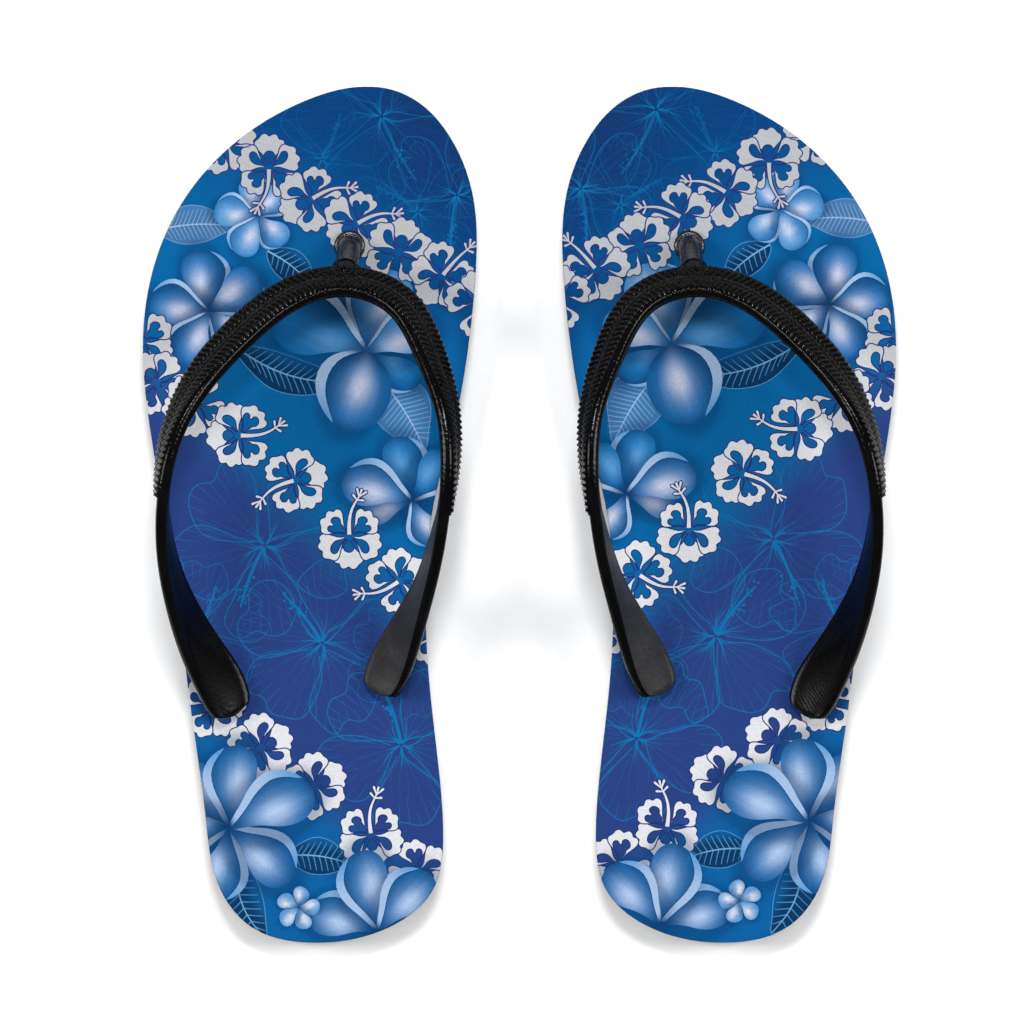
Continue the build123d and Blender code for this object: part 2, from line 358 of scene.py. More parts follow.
def leaf(layers, root, tip, width, side_veins=9, body=LEAF, vein=VEIN, cover=1.0, curve=0.06):
    """Pointed leaf with a midrib, comb veins and a fine outline."""
    root, tip = np.array(root, float), np.array(tip, float)
    length = np.linalg.norm(tip - root)
    angle = math.degrees(math.atan2(*(tip - root)[::-1]))
    w = width / length / 2
    shape = [(0, 0), (0.14, 0.62 * w), (0.38, w), (0.66, 0.82 * w), (0.88, 0.34 * w), (1, 0),
             (0.88, -0.34 * w), (0.66, -0.82 * w), (0.38, -w), (0.14, -0.62 * w)]
    bowed = [(x, y + curve * math.sin(math.pi * x)) for x, y in shape]
    outline = turned(trace(bowed, 1.0 / length), angle, root, length)
    layers.append((grow(outline, 0.22), plain(vein, 0.65 * cover)))

    def draw(line, start, end, share):
        layers.append((stroke(turned(line, angle, root, length), start, end), plain(vein, share * cover)))

    def paint(p):
        q = turned(p - root, -angle) / length
        s = (q[:, 1] - curve * np.sin(np.pi * np.clip(q[:, 0], 0, 1))) / max(w, 1e-6)
        colour = mixed(body, PETAL, 0.55 * smooth(0.2, 0.95, np.abs(s)) * smooth(-0.2, 0.6, s))
        return mixed(colour, body, smooth(0.3, 0.0, np.abs(s))), np.full(len(p), cover)
    layers.append((outline, paint))
    for i in range(side_veins):
        t = 0.10 + 0.80 * i / side_veins
        reach = 0.80 * w * math.sin(math.pi * min(1, t + 0.10)) ** 0.6
        bow = curve * math.sin(math.pi * t)
        for way in (1, -1):
            line = [(t, bow), (t + 0.05, bow + way * reach * 0.55), (t + 0.085, bow + way * reach)]
            draw(line, 0.34, 0.2, 0.6)
    draw([(0.0, 0), (0.3, curve * 0.81), (0.7, curve * 0.81), (1.0, 0)], 0.55, 0.25, 1.0)


# The edge of one line hibiscus petal along +x, and how far its veins spread.
LINE_PETAL = [
    (0.10, 0.02), (0.34, 0.27), (0.62, 0.44), (0.80, 0.40), (0.93, 0.30), (1.0, 0.10),
    (0.94, -0.04), (1.02, -0.20), (0.86, -0.38), (0.66, -0.40), (0.36, -0.22), (0.12, -0.03),
]
VEIN_SPREADS = (-0.34, -0.20, -0.06, 0.08, 0.22, 0.36)


def line_hibiscus(layers, centre, angle, size, cover):
    """Large hibiscus drawn in thin lines: petals, fringes and a starry throat."""
    centre = np.array(centre, float)

    def draw(line, start, end, share, step=0.8):
        layers.append((stroke(line, start, end, step), plain(CYAN, share * cover)))

    for k in range(5):
        at = angle + 72 * k + chance.uniform(-7, 7)
        edge = [(a + chance.normal(0, 0.015), b + chance.normal(0, 0.02)) for a, b in LINE_PETAL]
        draw(turned(edge, at, centre, size), 0.28, 0.28, 0.85, 1.0)
        total, along = spline(edge)
        for u in np.linspace(0.16, 0.84, 15):
            foot = along(total * u)[0]
            inward = foot * (1 - chance.uniform(0.16, 0.34))
            tick = [foot, inward + chance.normal(0, 0.012, 2)]
            draw(turned(tick, at, centre, size), 0.22, 0.12, 0.55)
        for spread in VEIN_SPREADS:
            end = chance.uniform(0.55, 0.82)
            vein = [(0.18, spread * 0.2), (end * 0.6, spread * 0.75), (end, spread + chance.normal(0, 0.03))]
            draw(turned(vein, at, centre, size), 0.20, 0.12, 0.35, 1.2)
        for _ in range(8):
            spread, reach = chance.uniform(-0.42, 0.42), chance.uniform(0.10, 0.34)
            ray = [(0.02, 0), (reach * 0.5, spread * reach * 0.35), (reach, spread * reach * 1.5)]
            draw(turned(ray, at, centre, size), 0.42, 0.08, 0.8)
    rod = turned([(0.02, 0), (0.4, 0.06), (0.72, 0.16)], angle + 36, centre, size)
    draw(rod, 1.1, 0.5, 1.0)
    dot = trace([(0.4, 0), (0, 0.4), (-0.4, 0), (0, -0.4)], 0.5)
    for _ in range(16):
        u = chance.uniform(0.45, 1.0)
        spot = rod[0] + (rod[-1] - rod[0]) * u + chance.normal(0, 0.035, 2) * size
        layers.append((turned(dot, 0, spot), plain(CYAN, cover)))


def artwork(shift):
    """The whole print in painter's order, moved by a shift: each sheet is cut from a roll.

    A layer is an outline and its paint. An outline of None paints the whole sheet.
    """
    layers = []
    dx, dy = shift

    def at(x, y):
        return (x + dx, y + dy)

    # thin line flowers on the indigo and on the toe
    for x, y, angle, size, cover in (
        (-13.5, -9.5, 200, 27, 0.85), (4, -39, 80, 26, 0.9), (28, -70, 60, 25, 0.95),
        (-34, -36, 20, 21, 0.6), (30, -44, 140, 18, 0.5), (22, 121, 250, 30, 0.42),
        (45, 97, 215, 22, 0.5), (4, 108, 20, 20, 0.22), (33, 92, 100, 20, 0.25),
    ):
        line_hibiscus(layers, at(x, y), angle, size, cover)
    # leaves that lie under the flowers
    leaf(layers, at(-46, 86.5), at(-22.5, 87.5), 11.5, 14, ink(16, 92, 146), RIM, 0.7, 0.05)
    leaf(layers, at(-12.5, 80), at(2, 68), 9.5, 8)
    leaf(layers, at(-22, 50.5), at(14, 40.5), 11, 14, curve=-0.10)
    leaf(layers, at(21, 42), at(35, 20), 17, 15, ink(30, 108, 164), RIM, 0.8, 0.04)
    leaf(layers, at(-6, -103.5), at(13.5, -106.5), 11, 9)
    leaf(layers, at(-22, -106), at(-13, -129), 13, 9, curve=-0.12)
    # small pale plumeria near the toe, and the two on the outer side
    pale = dict(body=SKY, glow=PALE, edge=ink(16, 96, 160))
    for angle, size in ((100, 11.5), (46, 11), (172, 12.2), (-42, 11), (246, 12)):
        plumeria_petal(layers, at(-15.8, 90.5), angle, size * 1.08, -1, 1.25, spot=0.5, rim=0.07, **pale)
    for angle, size in ((100, 19), (36, 19), (172, 18.5), (-38, 17), (244, 18)):
        plumeria_petal(layers, at(-30.6, 61.5), angle, size, -1, 1.2, spot=0.48, rim=0.07, glow=PALE)
    # the big one behind the strap
    plumeria_petal(layers, at(17.3, 49.5), -30, 19, -1, 0.9, spot=0.4, rim=0.05, glow=SKY)
    plumeria_petal(layers, at(38.5, 66.5), 10, 13, -1, 1.4, spot=0.35, rim=0.0, glow=SKY)
    plumeria_petal(layers, at(17.3, 49.5), 70, 26, 1, 1.2, body=SKY, spot=0.62, rim=0.05, edge=PETAL)
    plumeria_petal(layers, at(17.3, 49.5), 20, 22, 1, 1.0, body=SKY, spot=0.5, rim=0.05, edge=PETAL)
    plumeria_petal(layers, at(17.3, 49.5), 158, 30, -1, 1.1, spot=0.36, rim=0.08, glow=SKY)
    plumeria_petal(layers, at(17.6, 49.5), 252, 25, -1, 1.12, spot=0.46, rim=0.12, curl=0.02,
                   shape=BROAD_PETAL)
    # the one on the inner side
    for angle, size, glow in (
        (104, 20, SKY), (55, 18, SKY), (196, 16, PALE), (163, 22, PALE), (-62, 15, PALE),
    ):
        plumeria_petal(layers, at(31.2, 4.2), angle, size, -1, 1.05, spot=0.58, rim=0.09, glow=glow)
    # garlands of white hibiscus
    for x, y, angle, bend in (
        (-26, 113.5, 200, 0), (-12.2, 105.3, -92, -1), (0.7, 95.8, 30, -1), (14.4, 88.3, 28, -1),
        (27.2, 79.8, 255, 0), (40.4, 72.5, 50, -0.3), (51.5, 64, 210, 0),
        (-51, 52.5, 90, 0), (-46.6, 40, -60, 0), (-34.5, 33.5, 20, 0), (-21.2, 24, 0, 1),
        (12.2, -6.5, 90, -1), (27.4, -20.2, 212, -1), (-4.3, 10.4, 197, 1), (38.4, -35.2, 200, 0),
        (-29.5, -58.5, 190, 0), (-14.6, -70.8, 207, 0), (1.8, -82.4, 207, 0), (33.2, -108.4, 150, 0),
        (18.8, -97.2, 96, -1),
    ):
        hibiscus(layers, at(x, y), angle, 9.1, bend)
    # heel flowers lie over the last garland
    heel = dict(body=ink(8, 92, 156), edge=ink(2, 64, 118), glow=ink(166, 190, 224), spot=0.56)
    for angle, size in ((128, 24), (84, 25), (182, 22), (-104, 23), (-42, 24.5), (24, 27.5)):
        plumeria_petal(layers, at(-24, -95), angle, size, 1, 1.0, rim=0.10, **heel)
    for angle, size, flip in ((166, 22, -1), (102, 24.5, 1), (46, 23, 1)):
        plumeria_petal(layers, at(21, -126), angle, size, flip, 1.0, rim=0.10, **heel)
    small = dict(body=ink(130, 170, 212), edge=ink(60, 130, 190), glow=ink(224, 224, 232), spot=0.6)
    for angle in (82, 10, 154, -62, -134):
        plumeria_petal(layers, at(-3.4, -119.6), angle, 6.8, -1, 1.15, rim=0.0, **small)
    return layers


# ------------------------------------------------------------------ meshes
def new_mesh(name, side, points, faces, materials, face_slots):
    """Mesh from left-sandal millimetres, mirrored for the right one, riding on its sandal."""
    world = np.asarray(points, float) * MM
    world[:, 0] = SIGN[side] * (world[:, 0] + MIDDLE_X * MM)
    if side == "right":
        faces = [face[::-1] for face in faces]
    mesh = bpy.data.meshes.new(name)
    mesh.from_pydata(world.tolist(), [], [list(map(int, face)) for face in faces])
    for material in materials:
        mesh.materials.append(material)
    mesh.polygons.foreach_set("material_index", np.asarray(face_slots, np.int32))
    mesh.update()
    piece = bpy.data.objects.new(name, mesh)
    bpy.context.scene.collection.objects.link(piece)
    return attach(piece, side + "_sandal")


# ------------------------------------------------------------------ printed sheet
EDGE_ROUND, EDGE_DROP = 0.6, 0.35          # rounding of the top edge: how far in, how far down
EDGE_ROWS = (0.25, EDGE_ROUND)             # rows of points along the edge
GRID_REACH, GRID_STEP, GRID_STRAY = (53, 132), 1.25, 0.2
INK_INSET = 0.02                           # how far from corner to centre the ink is read


def cut_sheet(outline, shapes):
    """The sheet's points, its triangles with every shape cut in, and the shapes over each.

    The outline is shape 0. All loops run counter-clockwise and start a third of the way
    round, away from the flower centres where many of them meet.
    """
    points, loops = [], []
    for loop in [outline] + shapes:
        if twice_area(loop) < 0:
            loop = loop[::-1]
        loop = np.roll(loop, -len(loop) // 3, 0)
        loops.append(list(range(len(points), len(points) + len(loop))))
        points.extend(loop.tolist())
    for inset in EDGE_ROWS:
        points.extend(grow(outline, -inset).tolist())
    reach_x, reach_y = GRID_REACH
    grid = np.mgrid[-reach_x:reach_x:GRID_STEP, -reach_y:reach_y:GRID_STEP].reshape(2, -1).T
    grid = grid + chance.uniform(-GRID_STRAY, GRID_STRAY, grid.shape)
    points.extend(grid.tolist())
    result = delaunay_2d_cdt([Vector(p) for p in points], [], loops, 1, 1e-5, True)
    places, tris, covers = result[0], result[2], result[5]
    keep = [i for i, cover in enumerate(covers) if 0 in cover and len(tris[i]) == 3]
    used, corners = np.unique(np.array([tris[i] for i in keep]), return_inverse=True)
    corners = corners.reshape(-1, 3)
    flat = np.array([place[:] for place in places])[used]
    a, b, c = (flat[corners[:, k]] for k in range(3))
    cross = (b[:, 0] - a[:, 0]) * (c[:, 1] - a[:, 1]) - (b[:, 1] - a[:, 1]) * (c[:, 0] - a[:, 0])
    corners[cross < 0] = corners[cross < 0][:, ::-1]
    return flat, corners, [covers[i] for i in keep]


def printed_ink(flat, tris, covers, layers):
    """Ink at the triangles' corners, one layer over another.

    Inks are read slightly inside each corner, on the triangle's own side of every outline.
    """
    corners = flat[tris].reshape(-1, 2)
    centres = flat[tris].mean(1)
    corners = corners + (centres.repeat(3, 0) - corners) * INK_INSET
    colour = ground(corners)
    members = {}
    for i, cover in enumerate(covers):
        for number in cover:
            members.setdefault(number, []).append(i)
    number = 0
    for shape, paint in layers:
        rows = slice(None)
        if shape is not None:
            number += 1
            if number not in members:
                continue
            held = np.array(members[number])
            near = (centres[held] > shape.min(0)) & (centres[held] < shape.max(0))
            rows = (held[near.all(1)][:, None] * 3 + np.arange(3)).ravel()
        over, cover = paint(corners[rows])
        colour[rows] = colour[rows] + (over - colour[rows]) * cover[:, None]
    return colour


def free_edge(tris):
    """The ring of points round the triangles, from the edges that only one of them uses."""
    sides = np.sort(np.concatenate([tris[:, [0, 1]], tris[:, [1, 2]], tris[:, [2, 0]]]), axis=1)
    pairs, uses = np.unique(sides, axis=0, return_counts=True)
    beside = {}
    for i, j in pairs[uses == 1].tolist():
        beside.setdefault(i, []).append(j)
        beside.setdefault(j, []).append(i)
    ring = [min(beside)]
    while True:
        ahead = [j for j in beside[ring[-1]] if j not in ring[-2:]]
        if not ahead or (len(ring) > 2 and ring[0] in ahead):
            return ring
        ring.append(ahead[0])


def rounded_top(flat):
    """The sheet's upper side, with its edge rounded off."""
    rim = trace(OUTLINE, 0.2)
    tree = kdtree.KDTree(len(rim))
    for i, p in enumerate(rim):
        tree.insert((p[0], p[1], 0), i)
    tree.balance()
    inward = np.array([tree.find((p[0], p[1], 0))[2] for p in flat])
    past = 1 - np.clip(inward / EDGE_ROUND, 0, 1)
    drop = EDGE_DROP * (1 - np.sqrt(np.clip(1 - past ** 2, 0, 1)))
    return np.column_stack([flat, footbed(flat[:, 1]) - drop])


def printed_sheet(side, shift, material, edge_material):
    """The printed sheet with its artwork cut into the mesh, inked at the face corners."""
    layers = artwork(shift)
    shapes = [shape for shape, _ in layers if shape is not None]
    flat, tris, covers = cut_sheet(trace(OUTLINE, 0.8), shapes)
    colour = printed_ink(flat, tris, covers, layers)
    ring = free_edge(tris)
    area = twice_area(flat[ring]) / 2
    top = rounded_top(flat)
    bottom = np.column_stack([flat[ring], footbed(flat[ring][:, 1]) - SHEET])
    points = np.vstack([top, bottom])
    base, count = len(top), len(ring)
    walls = []
    for k in range(count):
        after = (k + 1) % count
        walls.append([ring[k], base + k, base + after, ring[after]])
    walls.append(list(range(base, base + count))[::-1])
    if area < 0:
        walls = [wall[::-1] for wall in walls]
    piece = new_mesh(f"{side}_print", side, points, tris.tolist() + walls, [material, edge_material],
                     [0] * len(tris) + [1] * len(walls))
    mesh = piece.data
    if side == "right":
        colour = colour.reshape(-1, 3, 3)[:, ::-1].reshape(-1, 3)
    inks = mesh.attributes.new("ink", "FLOAT_COLOR", "CORNER")
    values = np.ones((len(mesh.loops), 4), np.float32)
    values[:, :3] = WHITE
    values[:len(colour), :3] = np.clip(colour, 0, 1)
    inks.data.foreach_set("color", values.ravel())
    place = mesh.attributes.new("sole_place", "FLOAT_VECTOR", "POINT")
    place.data.foreach_set("vector", points.astype(np.float32).ravel())
    mesh.polygons.foreach_set("use_smooth", [True] * len(tris) + [False] * len(walls))
    return piece, abs(area)


# ------------------------------------------------------------------ strap
LATERAL_START, MEDIAL_START = 6.0, 1.5     # y where each arm's ribbed stretch starts
END_LENGTH = 2.4                           # length over which each rear end rounds off
FINE_STEP = 0.29                           # spacing of the sections along the ribs
RIB_HEIGHT, RIB_PITCH, RIB_SLANT = 0.60, 1.75, 0.36
RIB_ROW = 0.240                            # middle of each row of ribs, as a share of the width
RIDGE_HEIGHT, RIDGE_WIDTH = 0.50, 0.36     # ridge between the two rows
PEBBLE_HEIGHT, TIP_REACH = 0.42, 9.0       # pebbled stretch over the toe post
SMOOTH_DROP = 0.45                         # how much lower the smooth ends lie
OUTER_ROWS, CORNER_ROWS, INNER_ROWS = 27, 7, 9
CORNER_RADIUS = 1.7
CROWN, CROWN_FALL = 0.25, 0.45             # the inner face stands out in its middle
LATERAL_STATION, MEDIAL_STATION, FRONT_STATION = 3, -4, 12
STEM_STOP = 1.2                            # the plug stems end this far under the strap's middle
# Turned bodies as radius and height: disc and stem of a plug, and the socket on the toe post.
PLUG = [(7.2, 0.4), (7.8, 0.5), (8.25, 1.0), (8.25, 2.5), (7.9, 2.95), (3.5, 3.0), (3.5, 8.0)]
SOCKET = [(4.0, 8.15), (4.28, 8.3), (4.42, 8.7), (4.4, 10.5), (4.3, 12.5), (4.2, 14.4)]
# The toe post stands upright, bends over a radius, and leans towards the strap.
POST_LEAN, POST_BEND, POST_UPRIGHT = math.radians(40), 8.0, 1.0


def strap_frame(total, at, u):
    """Middle, across and outward directions of the strap at the parameters u."""
    def middle(v):
        p = at(np.clip(v, 0, total))
        return np.column_stack([p[:, 0], p[:, 1], footbed(p[:, 1]) + p[:, 2]])
    values = at(u)
    along = middle(u + 0.6) - middle(u - 0.6)
    along /= np.linalg.norm(along, axis=1)[:, None]
    inward = np.cross(along, (0, 0, 1))
    inward /= np.linalg.norm(inward, axis=1)[:, None]
    upward = np.cross(inward, along)
    roll = np.radians(values[:, 4])[:, None]
    return (middle(u), inward * np.cos(roll) + upward * np.sin(roll),
            upward * np.cos(roll) - inward * np.sin(roll), values[:, 3])


def section(width):
    """Rounded section as rows of across, out, normal across, normal out, ribbed face first."""
    r, h = CORNER_RADIUS, STRAP / 2
    flat = width / 2 - r
    rows = [(s * flat, h, 0, 1) for s in np.linspace(-1, 1, OUTER_ROWS)]

    def corner(middle, angles):
        for angle in np.radians(angles):
            c, s = math.cos(angle), math.sin(angle)
            rows.append((middle + r * c, (h - r) * np.sign(s) * (abs(s) > 0.01) + r * s, c, s))

    corner(flat, np.linspace(75, -75, CORNER_ROWS))
    for s in np.linspace(1, -1, INNER_ROWS):
        rows.append((s * flat, -h - CROWN + CROWN_FALL * s * s, -0.15 * s, -1))
    corner(-flat, np.linspace(-105, -255, CORNER_ROWS))
    return np.array(rows)


def relief(rows, v, width, front, ribbed):
    """How far a section's points stand out at the place v, and how much their crests are lightened: partly
    wear, partly a painted highlight.
    """
    out = rows[:, 3]
    facing = np.clip(out + 0.35, 0, 1)
    near_tip = math.exp(-((v - front) / TIP_REACH) ** 2)
    arm = math.copysign(1, v - front)
    # the distance from the middle line, carried on round the edge so that ribs wrap over it
    lateral = rows[:, 0] + np.where(out < 0.5, rows[:, 2] * 1.2 * (1 - np.clip(out, 0, 1)), 0)
    rise = np.zeros(len(rows))
    for way in (-1, 1):
        phase = (v + RIB_SLANT * lateral * arm) / RIB_PITCH + (0.5 if way > 0 else 0)
        rib = np.clip(np.cos(2 * np.pi * phase) + 0.25, 0, 1.25) ** 0.7
        off_row = np.abs(lateral - way * RIB_ROW * width)
        rise += RIB_HEIGHT * rib * smooth(0.165 * width, 0.125 * width, off_row)
    rise += RIDGE_HEIGHT * np.exp(-(lateral / RIDGE_WIDTH) ** 2) * (1 - near_tip)
    pebble = np.sin(lateral * 3.1 + v * 1.7) * np.sin(v * 3.9 - lateral * 2.3) * np.sin(v * 0.83 + lateral)
    tip = PEBBLE_HEIGHT * near_tip * np.clip(pebble, -0.3, 1)
    rise = rise * (1 - 0.6 * near_tip) + tip + 0.05 * pebble
    rise = (ribbed * rise - SMOOTH_DROP * (1 - ribbed)) * facing
    # painted highlight: a light line along the middle ridge
    ridge_highlight = np.exp(-(lateral / 0.40) ** 2) * (1 - near_tip) * ribbed * facing
    # second value: rib crests lightened partly as wear and partly as painted highlight, the ridge as painted
    # highlight
    return rise, np.maximum(np.clip((rise - 0.35) / 0.60, 0, 0.5), 0.9 * ridge_highlight)


def tube(first, rings, count):
    """Faces between rings of count points each, starting at point number first."""
    faces = []
    for i in range(rings - 1):
        for k in range(count):
            a, b = first + i * count + k, first + i * count + (k + 1) % count
            faces.append([a, b, b + count, a + count])
    return faces


def turned_body(foot, axis, profile, first, count=40):
    """Body of revolution: its points and faces, from a profile of radius and height along axis."""
    axis = np.array(axis, float) / np.linalg.norm(axis)
    one_way = np.cross(axis, (1, 0, 0))
    one_way /= np.linalg.norm(one_way)
    other_way = np.cross(axis, one_way)
    angles = np.linspace(0, 2 * np.pi, count, endpoint=False)
    circle = np.cos(angles)[:, None] * one_way + np.sin(angles)[:, None] * other_way
    points = np.vstack([foot + axis * height + radius * circle for radius, height in profile])
    last = first + (len(profile) - 1) * count
    faces = tube(first, len(profile), count)
    faces.append(list(range(first, first + count))[::-1])
    faces.append(list(range(last, last + count)))
    return points, faces


def post_axis():
    """Foot and direction of the straight run of the toe post, where its socket starts counting."""
    front = np.array(STATIONS[FRONT_STATION][:2]) - POST_HOLE
    front /= np.linalg.norm(front)
    out = POST_BEND * (1 - math.cos(POST_LEAN))
    up = POST_UPRIGHT + POST_BEND * math.sin(POST_LEAN)
    foot = np.array([*(POST_HOLE + front * out), footbed(POST_HOLE[1]) + up])
    return foot, np.array([*(front * math.sin(POST_LEAN)), math.cos(POST_LEAN)])


def plugs_and_socket():
    """Foot, axis and profile of each turned body that is moulded to the strap."""
    bodies = []
    for hole, station in ((LATERAL_HOLE, LATERAL_STATION), (MEDIAL_HOLE, MEDIAL_STATION)):
        top = footbed(hole[1]) + STATIONS[station][2] - STEM_STOP
        bodies.append((np.array([*hole, 0.0]), (0, 0, 1), PLUG + [(3.5, top)]))
    return bodies + [(*post_axis(), SOCKET)]


def band():
    """The strap's band along its stations: points, faces, their material slots, crests."""
    total, at = spline(STATIONS)
    dense = np.linspace(0, total, 2000)
    ys = at(dense)[:, 1]
    front = dense[np.argmax(ys)]
    start = dense[np.argmax(ys > LATERAL_START)]
    stop = dense[len(ys) - 1 - np.argmax(ys[::-1] > MEDIAL_START)]
    u = np.concatenate([
        np.linspace(0.0, END_LENGTH, 9),
        np.arange(2.8, start - 1.0, 1.0),
        np.arange(start - 1.0, stop + 1.0, FINE_STEP),
        np.arange(stop + 1.0, total - 2.8, 1.0),
        total - np.linspace(END_LENGTH, 0.0, 9),
    ])
    middle, across, outward, width = strap_frame(total, at, u)
    points, crests = [], []
    # each rear end is a rounded nose: sections shrink across, and less so in thickness
    for i, v in enumerate(u):
        rows = section(width[i])
        end = min(v, total - v)
        pinch = math.sqrt(max(1 - (1 - min(end / END_LENGTH, 1)) ** 2, 0.0016))
        ribbed = smooth(start - 0.5, start + 0.1, v) * smooth(stop + 0.5, stop - 0.1, v)
        rise, crest = relief(rows, v, width[i], front, ribbed)
        s = (rows[:, 0] + rise * rows[:, 2] * 0.5) * pinch
        n = (rows[:, 1] + rise * np.clip(rows[:, 3], 0.2, 1)) * (0.35 + 0.65 * pinch)
        points.append(middle[i] + across[i] * s[:, None] + outward[i] * n[:, None])
        crests.extend(crest)
    around, rings = len(points[0]), len(points)
    ends = [points[0].mean(0), points[-1].mean(0)]
    points = np.vstack(points + ends)
    faces = tube(0, rings, around)
    inner = OUTER_ROWS + CORNER_ROWS - 1
    slots = [1 if 0 <= k % around - inner <= INNER_ROWS + 1 else 0 for k in range(len(faces))]
    for ring, centre, turn in ((0, len(points) - 2, 1), (rings - 1, len(points) - 1, -1)):
        for k in range(around):
            tri = [centre, ring * around + (k + 1) % around, ring * around + k]
            faces.append(tri[::turn])
            slots.append(0)

    # the outside is the front of every face: one face on the ribbed side decides
    a, b, c = points[faces[around * 20 + 10][:3]]
    if np.dot(np.cross(b - a, c - a), outward[20]) < 0:
        faces = [face[::-1] for face in faces]
    return points, faces, slots, crests


def strap(side, outer_material, inner_material):
    """The strap moulding: ribbed front, smooth rear ends, socket, plug stems and discs."""
    points, faces, slots, crests = band()
    for foot, axis, profile in plugs_and_socket():
        more_points, more_faces = turned_body(foot, axis, profile, len(points))
        points = np.vstack([points, more_points])
        faces += more_faces
        slots += [0] * len(more_faces)
    piece = new_mesh(f"{side}_strap_moulding", side, points, faces, [outer_material, inner_material], slots)
    crests += [0.0] * (len(points) - len(crests))
    # how much each point is lightened: rib crests partly as wear and partly as painted highlight, the ridge
    # as painted highlight
    crest = piece.data.attributes.new("crest", "FLOAT", "POINT")
    crest.data.foreach_set("value", np.array(crests, np.float32))
    # share for painted light and shade on each arm: 0 on the lateral arm, painted darker, 1 on the medial
    # arm, painted lighter
    arm = piece.data.attributes.new("painted_arm_light", "FLOAT", "POINT")
    arm.data.foreach_set("value", smooth(-20, 25, points[:, 0]).astype(np.float32))
    piece.data.polygons.foreach_set("use_smooth", [True] * len(faces))
    return piece


# ------------------------------------------------------------------ materials
class Look:
    """A material with short ways to add its nodes."""

    def __init__(self, name):
        self.material = bpy.data.materials.new(name)
        self.material.use_nodes = True
        self.tree = self.material.node_tree
        self.tree.nodes.clear()
        self.shader = self.node("ShaderNodeBsdfPrincipled")
        output = self.node("ShaderNodeOutputMaterial")
        self.link(self.shader.outputs[0], output.inputs["Surface"])

    def node(self, kind, **settings):
        node = self.tree.nodes.new(kind)
        for key, value in settings.items():
            setattr(node, key, value)
        return node

    def link(self, source, target):
        self.tree.links.new(source, target)

    def place(self, attribute=None):
        """Object place in millimetres."""
        if attribute:
            return self.node("ShaderNodeAttribute", attribute_name=attribute).outputs["Vector"]
        coordinate = self.node("ShaderNodeTexCoord")
        scale = self.node("ShaderNodeVectorMath", operation="SCALE")
        scale.inputs["Scale"].default_value = 1000
        self.link(coordinate.outputs["Object"], scale.inputs[0])
        return scale.outputs[0]

    def noise(self, place, scale, detail=3.0, rough=0.6):
        node = self.node("ShaderNodeTexNoise")
        node.inputs["Scale"].default_value = scale
        node.inputs["Detail"].default_value = detail
        node.inputs["Roughness"].default_value = rough
        self.link(place, node.inputs["Vector"])
        return node.outputs["Fac"]

    def cells(self, place, scale):
        node = self.node("ShaderNodeTexVoronoi")
        node.inputs["Scale"].default_value = scale
        self.link(place, node.inputs["Vector"])
        return node.outputs["Distance"]

    def ramp(self, source, low, high, out_low, out_high):
        node = self.node("ShaderNodeMapRange")
        for key, value in (("From Min", low), ("From Max", high), ("To Min", out_low), ("To Max", out_high)):
            node.inputs[key].default_value = value
        self.link(source, node.inputs["Value"])
        return node.outputs[0]

    def math(self, operation, first, second):
        node = self.node("ShaderNodeMath", operation=operation)
        for slot, value in enumerate((first, second)):
            if isinstance(value, (int, float)):
                node.inputs[slot].default_value = value
            else:
                self.link(value, node.inputs[slot])
        return node.outputs[0]

    def blend(self, share, first, second, mode="MIX"):
        node = self.node("ShaderNodeMix", data_type="RGBA", blend_type=mode)
        for key, value in ((0, share), (6, first), (7, second)):
            if isinstance(value, (int, float)):
                node.inputs[key].default_value = value
            elif isinstance(value, (tuple, list, np.ndarray)):
                node.inputs[key].default_value = (*value[:3], 1)
            else:
                self.link(value, node.inputs[key])
        return node.outputs[2]

    def bump(self, height, strength, distance):
        node = self.node("ShaderNodeBump")
        node.inputs["Strength"].default_value = strength
        node.inputs["Distance"].default_value = distance
        self.link(height, node.inputs["Height"])
        self.link(node.outputs[0], self.shader.inputs["Normal"])


def fabric_look():
    """Printed brushed polyester: ink with a fine woven grain."""
    look = Look("printed_fabric")
    place = look.place("sole_place")
    colour = look.node("ShaderNodeAttribute", attribute_name="ink").outputs["Color"]
    fine = look.noise(place, 1.9, 2.0, 0.7)
    broad = look.noise(place, 0.16, 3.0)
    lit = look.math("MULTIPLY", look.ramp(fine, 0.3, 0.7, 0.88, 1.08), look.ramp(broad, 0.3, 0.7, 0.97, 1.02))
    grey = look.node("ShaderNodeCombineColor")
    for i in range(3):
        look.link(lit, grey.inputs[i])
    look.link(look.blend(1.0, colour, grey.outputs[0], "MULTIPLY"), look.shader.inputs["Base Color"])
    look.link(look.ramp(fine, 0.3, 0.7, 0.78, 0.92), look.shader.inputs["Roughness"])
    look.shader.inputs["Specular IOR Level"].default_value = 0.06
    weave = look.node("ShaderNodeTexWave", wave_type="BANDS", bands_direction="DIAGONAL")
    weave.inputs["Scale"].default_value = 0.9
    weave.inputs["Distortion"].default_value = 1.5
    look.link(place, weave.inputs["Vector"])
    look.bump(look.math("ADD", look.math("MULTIPLY", weave.outputs["Fac"], 0.4), fine), 0.25, 0.0002)
    return look.material


